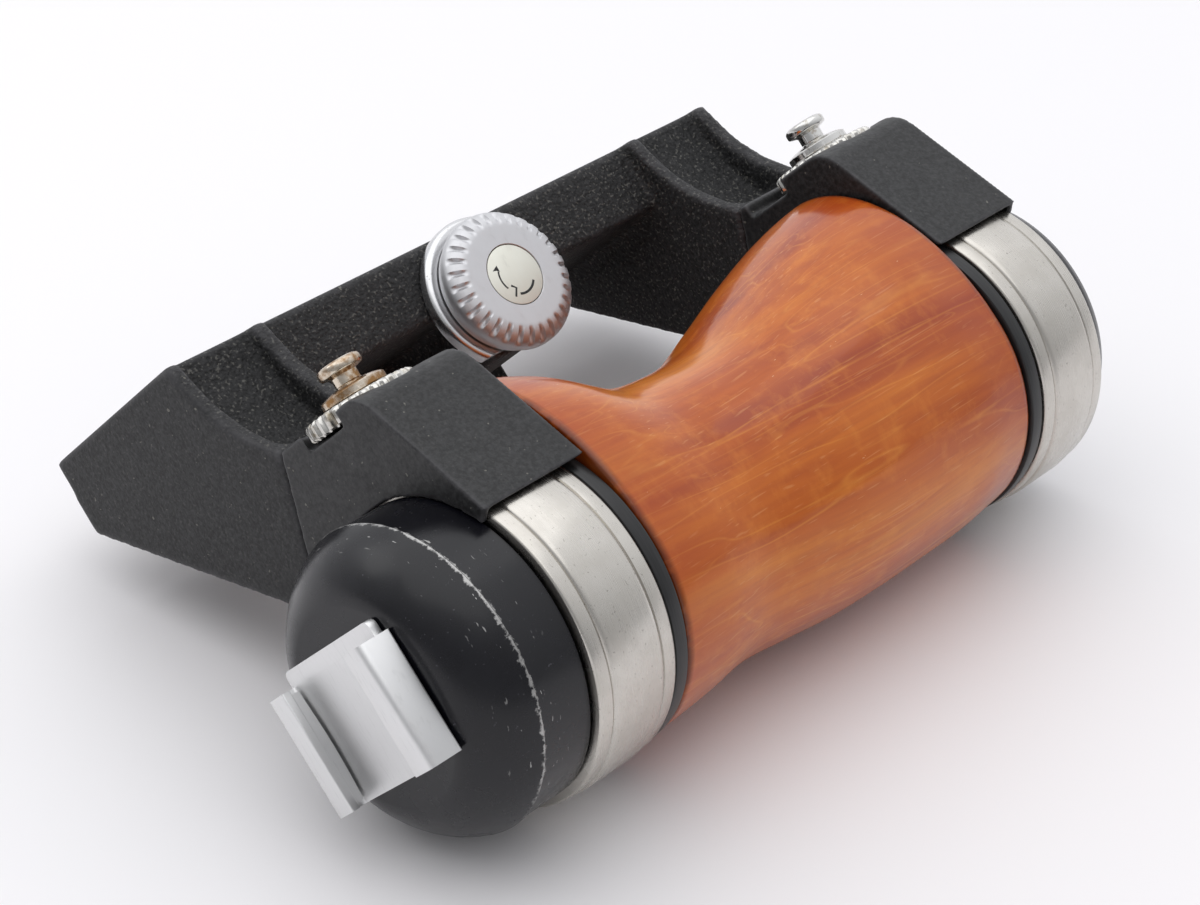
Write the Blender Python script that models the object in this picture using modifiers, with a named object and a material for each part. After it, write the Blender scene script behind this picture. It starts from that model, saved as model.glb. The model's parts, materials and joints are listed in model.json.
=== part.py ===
"""Wooden camera hand grip with an accessory shoe, a cast bracket and a clamp for a camera's strap lugs.

Everything is laid out in the grip's own frame, in millimetres: X runs along the handle from the shoe end
to the foot end, Y points along the strap lugs, Z points along the clamp knob's axis, away from the camera.
X = 0 is the middle of the handle and Y = Z = 0 is its axis. The empty "grip_frame" lays the grip on its
side, the way it rests on a table.
"""
import math

import bmesh
import bpy
from mathutils import Matrix, Vector

MM = 0.001
GAP = 0.3                     # clearance between touching pieces
LIE_ANGLE = 45.5              # degrees the grip is rolled about its handle when it lies on a table

# handle
HALF_SPAN = 50.0              # middle to the outer edge of a steel band
BAND_LENGTH = 13.0
BAND_RADIUS = 21.0
BAND_STEP = 0.3               # the edge strips lie this much below the middle of a band
STRIP_WIDTH = 2.3
BORE_RADIUS = 18.2            # inside of bands and rings
RING_LENGTH = 2.2
RING_RADIUS = 20.4
# the carved wood's radius at nine even stations from the shoe end to the foot end
WOOD_SIDE = (20.2, 19.8, 19.0, 19.7, 20.6, 20.9, 20.9, 20.8, 20.1)
WOOD_CREST = (28.0, 25.2, 19.4, 17.6, 17.8, 20.5, 23.5, 25.9, 27.3)
ROD_RADIUS = 3.0

# shoe end
CAP_WALL_RADIUS = 19.6
CAP_CREASE_RADIUS = 19.8
CAP_CREASE = 58.3             # distance of the crease from the middle
CAP_FLAT = 65.4               # distance of the cap's flat end from the middle
SHOE_HALF_BASE = 11.5
SHOE_HALF_TOP = 10.8
SHOE_HALF_SLOT = 9.35         # standard 18.7 mm slot
SHOE_HALF_GAP = 7.35
SHOE_SHEET = 1.2
SHOE_SLOT_HEIGHT = 2.1
SHOE_RAIL = (-8.8, 6.8)       # start and end of the rails along Y
SHOE_BASE_END = 8.8

# bracket
ARM_OUTER = 51.0
ARM_INNER = 34.5
WALL = 2.4
TOP_Y = 48.7
FRONT_Z = -24.2
REAR_Z = -57.5
BEAM_FRONT_BOTTOM = 38.9
BEAM_REAR_BOTTOM = 38.1
SHELF_Y = 31.7
SADDLE_BORE = 21.4
SADDLE_LIP_BORE = 20.1
LIP_THICKNESS = 0.7

# knob and clamp
KNOB_Y = 38.55
KNOB_RADIUS = 9.7
KNOB_FACE_RADIUS = 7.0
KNOB_HEIGHT = 4.4
FLANGE_RADIUS = 10.7
FLANGE_THICKNESS = 2.0
FLANGE_FLAT = 7.6             # the flange is cut flat this far below the knob's axis
SHAFT_RADIUS = 2.0
INSERT_RADIUS = 4.25
BAR_Z = -53.6
BAR_THICKNESS = 2.4
LUG_X = 28.0                  # places of the camera's strap lugs
LUG_Y = 43.8

# thumbscrews
SCREW_X = 44.0
SCREW_Z = -1.0
WHEEL_RADIUS = 7.4
WHEEL_HEIGHT = 2.4
WHEEL_FLOOR = 29.5
POCKET_RADIUS = 8.1

BLACK = (0.012, 0.012, 0.013)
MATERIALS = {                 # colour, metallic, roughness
    "varnished_wood": ((0.46, 0.15, 0.035), 0.0, 0.2),
    "satin_steel": ((0.58, 0.56, 0.53), 1.0, 0.3),
    "black_anodised": (BLACK, 0.0, 0.35),
    "black_ring": (BLACK, 0.0, 0.5),
    "satin_chrome": ((0.62, 0.62, 0.62), 1.0, 0.3),
    "crinkle_paint": ((0.018, 0.018, 0.018), 0.0, 0.6),
    "satin_paint": ((0.022, 0.022, 0.022), 0.0, 0.5),
    "bright_aluminium": ((0.6, 0.6, 0.6), 1.0, 0.35),
    "brass": ((0.5, 0.34, 0.12), 1.0, 0.35),
    "steel": ((0.45, 0.45, 0.45), 1.0, 0.35),
    "pad_rubber": ((0.02, 0.02, 0.02), 0.0, 0.8),
}
MOTION_AXES = {               # rotations that turn a piece's own Z onto a grip axis
    "X": (0, math.radians(90), 0),
    "-X": (0, math.radians(-90), 0),
    "Y": (math.radians(-90), 0, 0),
    "Z": (0, 0, 0),
    "-Z": (math.radians(180), 0, 0),
}

for old in list(bpy.data.objects):
    bpy.data.objects.remove(old, do_unlink=True)

parts = bpy.data.collections.new("camera_hand_grip")
cutters = bpy.data.collections.new("cutters")
bpy.context.scene.collection.children.link(parts)
bpy.context.scene.collection.children.link(cutters)

frame = bpy.data.objects.new("grip_frame", None)
frame.rotation_euler = (math.radians(LIE_ANGLE), 0, 0)
parts.objects.link(frame)


def paint(name):
    """The named material, made once."""
    if name in bpy.data.materials:
        return bpy.data.materials[name]
    colour, metallic, roughness = MATERIALS[name]
    material = bpy.data.materials.new(name)
    material.use_nodes = True
    shader = material.node_tree.nodes["Principled BSDF"]
    shader.inputs["Base Color"].default_value = (*colour, 1)
    shader.inputs["Metallic"].default_value = metallic
    shader.inputs["Roughness"].default_value = roughness
    return material


def place(thing, at, turn, material):
    """Hangs a piece on the grip's frame; a piece with no material is a cutter."""
    thing.parent = frame
    thing.location = Vector(at) * MM
    thing.rotation_euler = turn
    if material:
        parts.objects.link(thing)
        thing.data.materials.clear()
        thing.data.materials.append(paint(material))
    else:
        cutters.objects.link(thing)
        thing.hide_render = True
        thing.display_type = "WIRE"
    return thing


def turned(name, outline, at, axis, material=None, steps=48, sharp=35):
    """A turned piece: outline is (radius, height) pairs, outer side from top to bottom.

    An outline that starts and ends on the axis is a solid; any other is joined end to end as a ring.
    """
    mesh = bpy.data.meshes.new(name)
    points = [(r * MM, 0, h * MM) for r, h in outline]
    edges = [(i, i + 1) for i in range(len(points) - 1)]
    if outline[0][0] > 0 or outline[-1][0] > 0:
        edges.append((len(points) - 1, 0))
    mesh.from_pydata(points, edges, [])
    thing = place(bpy.data.objects.new(name, mesh), at, MOTION_AXES[axis], material)
    screw = thing.modifiers.new("turn", "SCREW")
    screw.steps = steps
    screw.render_steps = steps
    screw.use_merge_vertices = True
    screw.merge_threshold = 0.00001
    return settle(thing, sharp)


def settle(thing, sharp=35):
    """Applies a piece's modifiers, welds it and shades it smooth between its sharp edges."""
    bpy.context.view_layer.update()
    evaluated = thing.evaluated_get(bpy.context.evaluated_depsgraph_get())
    mesh = bpy.data.meshes.new_from_object(evaluated)
    mesh.name = thing.name
    form = bmesh.new()
    form.from_mesh(mesh)
    bmesh.ops.remove_doubles(form, verts=form.verts, dist=0.000002)
    bmesh.ops.dissolve_degenerate(form, edges=form.edges, dist=0.000002)
    bmesh.ops.recalc_face_normals(form, faces=form.faces)
    form.to_mesh(mesh)
    form.free()
    thing.modifiers.clear()
    thing.data = mesh
    mesh.shade_smooth()
    mesh.set_sharp_from_angle(angle=math.radians(sharp))
    return thing


def block(name, low, high, material=None, turn=(0, 0, 0)):
    """A box between two corners."""
    mesh = bpy.data.meshes.new(name)
    form = bmesh.new()
    bmesh.ops.create_cube(form, size=1.0)
    size = [(b - a) * MM for a, b in zip(low, high)]
    bmesh.ops.scale(form, vec=size, verts=form.verts)
    form.to_mesh(mesh)
    form.free()
    middle = [(a + b) / 2 for a, b in zip(low, high)]
    return place(bpy.data.objects.new(name, mesh), middle, turn, material)


def slab(name, outline, start, end, plane, material=None):
    """A flat outline given thickness: plane "ZY" runs from X = start to end, "XY" along Z."""
    form = bmesh.new()
    face = form.faces.new([form.verts.new((u * MM, v * MM, 0)) for u, v in outline])
    grown = bmesh.ops.extrude_face_region(form, geom=[face])
    moved = [part for part in grown["geom"] if isinstance(part, bmesh.types.BMVert)]
    bmesh.ops.translate(form, vec=(0, 0, (end - start) * MM), verts=moved)
    bmesh.ops.translate(form, vec=(0, 0, (start - end) / 2 * MM), verts=form.verts)
    bmesh.ops.recalc_face_normals(form, faces=form.faces)
    mesh = bpy.data.meshes.new(name)
    form.to_mesh(mesh)
    form.free()
    middle = (start + end) / 2
    if plane == "ZY":
        return place(bpy.data.objects.new(name, mesh), (middle, 0, 0), (0, math.radians(-90), 0), material)
    return place(bpy.data.objects.new(name, mesh), (0, 0, middle), (0, 0, 0), material)


def pin(name, radius, at, axis, length, material=None, steps=24):
    """A plain cylinder that starts at a point and runs along an axis."""
    return turned(name, [(0, length), (radius, length), (radius, 0), (0, 0)], at, axis, material, steps)


def combine(thing, others, operation):
    for other in others:
        change = thing.modifiers.new(other.name, "BOOLEAN")
        change.operation = operation
        change.object = other
        change.solver = "EXACT"
    return thing


def cut(thing, *others):
    return combine(thing, others, "DIFFERENCE")


def join(thing, *others):
    return combine(thing, others, "UNION")


def soften(thing, width, segments=2, angle=35):
    bevel = thing.modifiers.new("soft_edges", "BEVEL")
    bevel.width = width * MM
    bevel.segments = segments
    bevel.limit_method = "ANGLE"
    bevel.angle_limit = math.radians(angle)
    bevel.use_clamp_overlap = True
    return thing


def arc(radius, start, end, count, centre=(0, 0)):
    """Points on a circle in a (Z, Y) plane, angles in degrees from +Z towards +Y."""
    points = []
    for i in range(count + 1):
        angle = math.radians(start + (end - start) * i / count)
        points.append((centre[0] + radius * math.cos(angle), centre[1] + radius * math.sin(angle)))
    return points


# ---------------------------------------------------------------- handle

WOOD_END = ARM_INNER - GAP
RING_START = ARM_INNER
BAND_START = HALF_SPAN - BAND_LENGTH


def wood_section(x):
    """Reach of the wood at a place along it: its sides and underside, and its crest towards the saddles."""
    place_along = (x + WOOD_END) / (2 * WOOD_END) * (len(WOOD_CREST) - 1)
    first = min(int(place_along), len(WOOD_CREST) - 2)
    t = place_along - first
    reach = []
    for stations in (WOOD_SIDE, WOOD_CREST):
        p0 = stations[max(first - 1, 0)]
        p1 = stations[first]
        p2 = stations[first + 1]
        p3 = stations[min(first + 2, len(stations) - 1)]
        bend = 2 * p0 - 5 * p1 + 4 * p2 - p3
        twist = 3 * (p1 - p2) + p3 - p0
        reach.append((2 * p1 + (p2 - p0) * t + bend * t * t + twist * t ** 3) / 2)
    return reach


def carve_wood():
    """The hourglass handle: round sections that reach higher on the saddles' side towards the ends."""
    around = 48
    stations = 20
    form = bmesh.new()
    rings = []

    def ring(x, side, crest):
        row = []
        for j in range(around):
            angle = 2 * math.pi * j / around
            up = math.sin(angle)
            reach = crest if up > 0 else side
            row.append(form.verts.new((x * MM, reach * up * MM, side * math.cos(angle) * MM)))
        rings.append(row)

    spigot = BORE_RADIUS - GAP
    spigot_end = HALF_SPAN - 4.0
    bore = ROD_RADIUS + 1.0
    ring(-spigot_end, spigot, spigot)
    ring(-WOOD_END, spigot, spigot)
    for i in range(stations + 1):
        x = -WOOD_END + 2 * WOOD_END * i / stations
        ring(x, *wood_section(x))
    ring(WOOD_END, spigot, spigot)
    ring(spigot_end, spigot, spigot)
    ring(spigot_end, bore, bore)
    ring(-spigot_end, bore, bore)
    count = len(rings)
    for i in range(count):
        one = rings[i]
        two = rings[(i + 1) % count]
        for j in range(around):
            k = (j + 1) % around
            form.faces.new((one[j], one[k], two[k], two[j]))
    bmesh.ops.recalc_face_normals(form, faces=form.faces)
    mesh = bpy.data.meshes.new("handle_wood")
    form.to_mesh(mesh)
    form.free()
    mesh.shade_smooth()
    mesh.set_sharp_from_angle(angle=math.radians(40))
    return place(bpy.data.objects.new("handle_wood", mesh), (0, 0, 0), (0, 0, 0), "varnished_wood")


def make_band(name, side):
    """A steel band whose middle stands a little proud of the strip along each edge."""
    strip = BAND_RADIUS - BAND_STEP
    end = BAND_LENGTH
    outline = [
        (BORE_RADIUS, end), (strip - 0.3, end), (strip, end - 0.3),
        (strip, end - STRIP_WIDTH), (BAND_RADIUS, end - STRIP_WIDTH - 0.3),
        (BAND_RADIUS, STRIP_WIDTH + 0.3), (strip, STRIP_WIDTH),
        (strip, 0.3), (strip - 0.3, 0), (BORE_RADIUS, 0),
    ]
    axis = "X" if side > 0 else "-X"
    turned(name, outline, (side * BAND_START, 0, 0), axis, "satin_steel", 56)


def make_ring(name, side):
    outline = [
        (BORE_RADIUS, RING_LENGTH), (RING_RADIUS, RING_LENGTH),
        (RING_RADIUS, 0), (BORE_RADIUS, 0),
    ]
    axis = "X" if side > 0 else "-X"
    turned(name, outline, (side * RING_START, 0, 0), axis, "black_ring", 48)


def make_plug(name, side):
    """A disc inside the band's end that centres the tie rod."""
    thickness = 3.4
    outline = [
        (ROD_RADIUS + GAP, thickness), (BORE_RADIUS - GAP, thickness),
        (BORE_RADIUS - GAP, 0), (ROD_RADIUS + GAP, 0),
    ]
    axis = "X" if side > 0 else "-X"
    turned(name, outline, (side * (HALF_SPAN - 3.7), 0, 0), axis, "bright_aluminium", 32)


def make_top_cap():
    """The black cap under the shoe: straight wall, worn crease, rounded shoulder and flat end."""
    wall_end = HALF_SPAN + GAP
    inside = 17.2
    shoulder = [(13.0, CAP_FLAT), (15.1, CAP_FLAT - 0.9), (17.0, CAP_FLAT - 2.4),
                (18.6, CAP_FLAT - 4.4), (CAP_CREASE_RADIUS, CAP_CREASE)]
    outline = [(0, CAP_FLAT)] + shoulder + [
        (CAP_WALL_RADIUS, CAP_CREASE - 0.25), (CAP_WALL_RADIUS, wall_end), (inside, wall_end),
        (inside, 58.2), (13.0, 62.6), (5.4, 62.6), (5.4, 52.0), (ROD_RADIUS + GAP, 52.0),
        (ROD_RADIUS + GAP, 60.4), (0, 60.4),
    ]
    cap = turned("top_cap", outline, (0, 0, 0), "-X", "black_anodised", 56, 20)
    for z in SHOE_SCREW_Z:
        cut(cap, pin("shoe_screw_hole", 1.5, (-CAP_FLAT - 1, 0, z), "X", 5))
    return cap


def make_bottom_cap():
    """A low foot cap over the far band, with a well for the tie rod's nut."""
    start = HALF_SPAN + GAP
    outline = [
        (5.6, start + 4.6), (15.5, start + 4.6), (18.0, start + 3.4), (19.2, start + 1.4), (19.2, start),
        (ROD_RADIUS + GAP, start), (ROD_RADIUS + GAP, start + 1.6), (5.6, start + 1.6),
    ]
    turned("bottom_cap", outline, (0, 0, 0), "X", "black_anodised", 48)


def make_tie_rod():
    """The rod that pulls cap, bands and wood together, with its washer and nut."""
    start = -59.8
    pin("tie_rod", ROD_RADIUS, (start, 0, 0), "X", 54.4 - start, "steel", 24)
    seat = HALF_SPAN + GAP + 1.6 + GAP
    ring = [(ROD_RADIUS + GAP, 0.6), (5.2, 0.6), (5.2, 0), (ROD_RADIUS + GAP, 0)]
    turned("tie_washer", ring, (seat, 0, 0), "X", "steel", 24)
    nut_height = 1.9
    nut = [(ROD_RADIUS + GAP, nut_height), (4.8, nut_height), (4.8, 0), (ROD_RADIUS + GAP, 0)]
    turned("tie_nut", nut, (seat + 0.9, 0, 0), "X", "steel", 24)


# ---------------------------------------------------------------- accessory shoe

SHOE_SCREW_Z = (-8.0, 8.0)
SHOE_BOTTOM = CAP_FLAT + GAP
SHOE_FLOOR = SHOE_BOTTOM + SHOE_SHEET
LIP_UNDER = SHOE_FLOOR + SHOE_SLOT_HEIGHT
LIP_TOP = LIP_UNDER + SHOE_SHEET


def make_shoe():
    """The folded shoe: base, two leaning side walls and the lips turned in over the slot."""
    half = [
        (SHOE_HALF_BASE, SHOE_BOTTOM), (SHOE_HALF_TOP, LIP_TOP - 0.7), (SHOE_HALF_TOP - 0.7, LIP_TOP),
        (SHOE_HALF_GAP, LIP_TOP), (SHOE_HALF_GAP, LIP_UNDER), (SHOE_HALF_SLOT, LIP_UNDER),
        (SHOE_HALF_SLOT, SHOE_FLOOR),
    ]
    outline = half + [(-z, x) for z, x in reversed(half)]
    start, end = SHOE_RAIL
    shoe = slab("shoe", [(z, x) for z, x in outline], start, end, "XY", "satin_chrome")
    # the outline is drawn in (Z, -X) and stands along Y
    shoe.location = (0, (start + end) / 2 * MM, 0)
    shoe.rotation_euler = Matrix(((0, -1, 0), (0, 0, 1), (-1, 0, 0))).to_euler()
    tongue = block("shoe_tongue", (-SHOE_FLOOR, end - 1.0, -SHOE_HALF_SLOT - 0.8),
                   (-SHOE_BOTTOM, SHOE_BASE_END, SHOE_HALF_SLOT + 0.8))
    join(shoe, tongue)
    for z in SHOE_SCREW_Z:
        cut(shoe, pin("shoe_thread", 1.1, (-SHOE_BOTTOM - 0.8, 0, z), "X", 2))
    return shoe


def make_shoe_spring():
    """A thin bowed leaf along the slot's wall that holds an accessory's foot."""
    start, end = SHOE_RAIL
    wall = -SHOE_HALF_SLOT + GAP
    outline = []
    for i in range(9):
        y = start + 0.6 + (end - start - 1.2) * i / 8
        outline.append((y, wall + 1.0 * math.sin(math.pi * i / 8)))
    back = [(y, z + 0.35) for y, z in reversed(outline)]
    leaf = slab("shoe_spring", outline + back, 0, 1.5, "XY", "satin_chrome")
    # the bowed line is drawn in (Y, Z) and stands along X, inside the slot
    leaf.location = (-(SHOE_FLOOR + GAP + 0.75) * MM, 0, 0)
    leaf.rotation_euler = Matrix(((0, 0, 1), (1, 0, 0), (0, 1, 0))).to_euler()


def make_shoe_screws():
    """Two screws whose heads sit inside the cap and whose shanks hold the shoe."""
    for number, z in enumerate(SHOE_SCREW_Z, 1):
        head = 62.3
        outline = [(0, 3.9), (0.9, 3.9), (0.9, 0), (2.0, 0), (2.0, -1.2), (0, -1.2)]
        turned(f"shoe_screw_{number}", outline, (-head, 0, z), "-X", "steel", 16)


# ---------------------------------------------------------------- bracket casting

SPLIT_TOP = (-10.7, SHELF_Y)          # where the arm meets the saddle, in (Z, Y)
SPLIT_MIDDLE = (-17.7, 19.0)
SPLIT_LOW = (-21.6, 12.5)
HOUSING_HALF = 18.0
HOUSING_BOTTOM = 27.06
HOUSING_FRONT = -52.0
CHAMBER_HALF = 9.6
BOSS_HALF = 4.5
BOSS_BOTTOM = 30.3
CHAMBER_FRONT = -46.8


def arm_outline():
    """The arm seen along the handle: camera edge, top, rim down to the saddle, slanting underside."""
    return [
        (REAR_Z + 0.9, TOP_Y), (REAR_Z, BEAM_REAR_BOTTOM), SPLIT_LOW, SPLIT_MIDDLE, SPLIT_TOP,
        (-11.3, 32.2), (-13.7, 33.8), (-16.9, 37.0), (-19.6, 40.9), (-21.2, 44.6), (-22.5, TOP_Y),
    ]


def both(side_block):
    """Runs a maker for the shoe end and the foot end."""
    return [side_block(side) for side in (-1, 1)]


def span(side, near, far):
    """Low and high X of a stretch on one side of the middle."""
    return (near, far) if side > 0 else (-far, -near)


def make_bracket():
    """One casting: a downward-open channel beam, two pocketed arms and the clamp housing."""
    bracket = slab("bracket", arm_outline(), -ARM_OUTER, ARM_OUTER, "ZY", "crinkle_paint")
    cut(bracket, block("hand_space", (-ARM_INNER, 0, FRONT_Z), (ARM_INNER, 60, 10)))
    cut(bracket, block("under_beam", (-ARM_INNER, 0, -70), (ARM_INNER, BEAM_FRONT_BOTTOM, FRONT_Z + 1)))

    def pocket(side):
        low, high = span(side, ARM_INNER + WALL, ARM_OUTER - WALL)
        floor = [(FRONT_Z, 60), (FRONT_Z + 0.3, 44.5), (-22.4, 38.1), (-20.3, 33.6), (-19.0, 32.0), (0, 32.0), (0, 60)]
        return slab("arm_pocket", floor, low, high, "ZY")

    channel = block("beam_channel", (WALL - ARM_OUTER, BEAM_FRONT_BOTTOM + WALL, REAR_Z - 1),
                    (ARM_OUTER - WALL, TOP_Y - WALL, FRONT_Z - WALL))
    cut(bracket, channel, *both(pocket))
    housing = block("clamp_housing", (-HOUSING_HALF, HOUSING_BOTTOM, REAR_Z),
                    (HOUSING_HALF, TOP_Y - 1, HOUSING_FRONT))
    boss = block("knob_boss", (-BOSS_HALF, BOSS_BOTTOM, REAR_Z + 1),
                 (BOSS_HALF, TOP_Y - 1, FRONT_Z))
    chest = block("chamber_walls", (-CHAMBER_HALF, BOSS_BOTTOM, REAR_Z + 0.5),
                  (CHAMBER_HALF, TOP_Y - 0.8, CHAMBER_FRONT + 1.8))
    join(bracket, housing, chest, boss)
    # chamber for the clamp bar's tab, its windows, and the rebate for the cover
    chamber = block("chamber", (-8.0, 33.0, REAR_Z - 1), (8.0, TOP_Y - WALL, CHAMBER_FRONT))
    windows = block("bar_windows", (-HOUSING_HALF - 1, 40.7, BAR_Z - 0.4),
                    (HOUSING_HALF + 1, TOP_Y - WALL, CHAMBER_FRONT))
    rebate = block("cover_rebate", (-COVER_HALF - GAP, COVER_LOW - GAP, REAR_Z - 1),
                   (COVER_HALF + GAP, COVER_HIGH + GAP, COVER_BACK + GAP))
    shaft_bore = pin("shaft_bore", SHAFT_RADIUS + GAP, (0, KNOB_Y, CHAMBER_FRONT - 1), "Z", 30)
    cut(bracket, chamber, windows, rebate, shaft_bore)
    for x, y in cover_screw_places():
        cut(bracket, pin("cover_thread", 1.3, (x, y, COVER_BACK - 1), "Z", 6))
    for side in (-1, 1):
        for x, y in saddle_screw_places(side):
            seat = FRONT_Z - WALL
            sink = [(0, 0), (1.8, 0), (1.8, seat), (3.0, seat), (3.0, REAR_Z), (0, REAR_Z)]
            cut(bracket, turned("saddle_hole", sink, (x, y, 0), "Z", None, 20))
    return bracket


def make_pad(name, side):
    """A thin rubber pad between the bracket and the camera's side."""
    low, high = span(side, 33.0, 49.5)
    block(name, (low, 39.4, REAR_Z - GAP - 0.8), (high, 47.4, REAR_Z - GAP), "pad_rubber")


# ---------------------------------------------------------------- saddles

def saddle_outline(bore):
    """The saddle seen along the handle: seat on the shelf side, rounded corner, long face, tip, bore."""
    seat = [(SPLIT_LOW[0] + GAP, SPLIT_LOW[1] - 0.1), (SPLIT_MIDDLE[0] + GAP, SPLIT_MIDDLE[1]),
            (SPLIT_TOP[0] + GAP, SHELF_Y)]
    corner = arc(5.0, 90, 22, 5, (5.4, SHELF_Y - 5.0))
    tip_angle = 34.8
    foot_angle = 151.2
    inner = arc(bore, tip_angle, foot_angle, 20)
    tip = [(18.1, 12.6)]
    return seat + corner + tip + inner


SADDLE_FOOT = 22.0


def saddle_screw_places(side):
    return [(side * x, SADDLE_FOOT) for x in (39.8, 45.6)]


def make_saddle(name, side):
    """The block that grips a band: bored for the band, with a thin lip that covers the band's edge."""
    low, high = span(side, ARM_INNER, ARM_OUTER)
    saddle = slab(name, saddle_outline(SADDLE_BORE), low, high, "ZY", "satin_paint")
    low, high = span(side, ARM_OUTER - LIP_THICKNESS, ARM_OUTER)
    join(saddle, slab(name + "_lip", saddle_outline(SADDLE_LIP_BORE), low, high, "ZY"))
    pocket = [(0, 40), (POCKET_RADIUS, 40), (POCKET_RADIUS, WHEEL_FLOOR), (2.7, WHEEL_FLOOR), (2.7, 10), (0, 10)]
    cut(saddle, turned("wheel_pocket", pocket, (side * SCREW_X, 0, SCREW_Z), "Y", None, 40))
    # the pocket's wall is open towards the hand, so the wheel can be reached
    near, far = span(side, ARM_INNER - 1, SCREW_X)
    cut(saddle, block("wheel_notch", (near, WHEEL_FLOOR + 0.1, -9.2), (far, 40, SCREW_Z)))
    for x, y in saddle_screw_places(side):
        cut(saddle, pin("saddle_thread", 1.8, (x, y, -20.0), "Z", 11.5, None, 16))
    return saddle


def make_saddle_screws(word, side):
    """Screws from the hollow behind the arm into the saddle."""
    for number, (x, y) in enumerate(saddle_screw_places(side), 1):
        outline = [(0, 18.0), (1.5, 18.0), (1.5, 0), (2.7, 0), (2.7, -1.8), (0, -1.8)]
        turned(f"{word}_saddle_screw_{number}", outline, (x, y, FRONT_Z - WALL - GAP), "Z", "steel", 16)


# ---------------------------------------------------------------- clamp

COVER_HALF = 13.2
COVER_LOW = 30.0
COVER_HIGH = 45.4
COVER_BACK = -56.0


def cover_screw_places():
    return [(x, y) for x in (-10.8, 10.8) for y in (COVER_LOW + 2.3, KNOB_Y - 0.5)]


def make_cover():
    """The plate on the camera's side that closes the clamp's chamber, and its four screws."""
    cover = block("clamp_cover", (-COVER_HALF, COVER_LOW, REAR_Z + 0.1),
                  (COVER_HALF, COVER_HIGH, COVER_BACK), "satin_paint")
    for number, (x, y) in enumerate(cover_screw_places(), 1):
        sink = [(0, 1.8), (1.3, 1.8), (1.3, 0.9), (2.2, 0.9), (2.2, -0.6), (0, -0.6)]
        cut(cover, turned("cover_sink", sink, (x, y, REAR_Z), "Z", None, 24))
        outline = [(0, 4.8), (1.0, 4.8), (1.0, 0.6), (1.9, 0.6), (1.9, 0.1), (0, 0.1)]
        turned(f"cover_screw_{number}", outline, (x, y, REAR_Z), "Z", "steel", 16)


def make_clamp_bar():
    """A flat bar with a fork at each end for the camera's strap lugs, and a tab for the nut."""
    half_bar = 2.1
    fork = 1.3
    end = LUG_X + 3.6
    right = [
        (7.2, LUG_Y - half_bar), (LUG_X - fork, LUG_Y - half_bar), (LUG_X - fork, LUG_Y),
        (LUG_X + fork, LUG_Y), (LUG_X + fork, LUG_Y - half_bar), (end, LUG_Y - half_bar),
        (end, LUG_Y + half_bar),
    ]
    left = [(-x, y) for x, y in reversed(right)]
    tab = [(-7.2, 34.6), (7.2, 34.6)]
    bar = slab("clamp_bar", right + left + tab, BAR_Z, BAR_Z + BAR_THICKNESS, "XY", "steel")
    cut(bar, pin("nut_seat", 3.2, (0, KNOB_Y, BAR_Z - 1), "Z", 5))


def make_clamp_nut():
    bore = SHAFT_RADIUS + 0.2
    outline = [(bore, 3.4), (4.1, 3.4), (4.1, BAR_THICKNESS + GAP), (2.9, BAR_THICKNESS + GAP),
               (2.9, -0.2), (bore, -0.2)]
    turned("clamp_nut", outline, (0, KNOB_Y, BAR_Z), "Z", "brass", 32)


def make_knob():
    """The fluted lock knob with its disc, shaft and retaining ring, and the fixed flange under it."""
    flange_top = FRONT_Z + GAP + FLANGE_THICKNESS
    flange = [
        (SHAFT_RADIUS + GAP, FLANGE_THICKNESS), (FLANGE_RADIUS - 0.6, FLANGE_THICKNESS),
        (FLANGE_RADIUS - 0.15, FLANGE_THICKNESS - 0.2), (FLANGE_RADIUS, FLANGE_THICKNESS - 0.6),
        (FLANGE_RADIUS, 0), (SHAFT_RADIUS + GAP, 0),
    ]
    plate = turned("knob_flange", flange, (0, KNOB_Y, FRONT_Z + GAP), "Z", "satin_chrome", 48)
    cut(plate, block("flange_flat", (-12, KNOB_Y - 14, FRONT_Z - 1), (12, KNOB_Y - FLANGE_FLAT, FRONT_Z + 4)))
    base = flange_top + GAP
    recess = KNOB_HEIGHT - 0.9
    outline = [
        (INSERT_RADIUS + GAP, KNOB_HEIGHT - 0.1), (KNOB_FACE_RADIUS, KNOB_HEIGHT),
        (KNOB_FACE_RADIUS + 1.5, KNOB_HEIGHT - 0.7), (KNOB_RADIUS, KNOB_HEIGHT - 2.3), (KNOB_RADIUS, 0.4),
        (KNOB_RADIUS - 0.4, 0), (SHAFT_RADIUS + GAP, 0), (SHAFT_RADIUS + GAP, recess),
        (INSERT_RADIUS + GAP, recess),
    ]
    knob = turned("knob", outline, (0, KNOB_Y, base), "Z", "bright_aluminium", 76)
    disc = [(0, KNOB_HEIGHT - 0.15), (INSERT_RADIUS, KNOB_HEIGHT - 0.15),
            (INSERT_RADIUS, recess + GAP), (0, recess + GAP)]
    turned("knob_disc", disc, (0, KNOB_Y, base), "Z", "bright_aluminium", 48)
    shaft_top = base + recess
    shaft_end = BAR_Z - 1.2
    pin("knob_shaft", SHAFT_RADIUS, (0, KNOB_Y, shaft_end), "Z", shaft_top - shaft_end, "steel", 24)
    ring = [(SHAFT_RADIUS + 0.2, 0.7), (3.6, 0.7), (3.6, 0), (SHAFT_RADIUS + 0.2, 0)]
    turned("shaft_ring", ring, (0, KNOB_Y, CHAMBER_FRONT - 1.0), "Z", "steel", 24)
    return knob


# ---------------------------------------------------------------- thumbscrews

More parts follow.
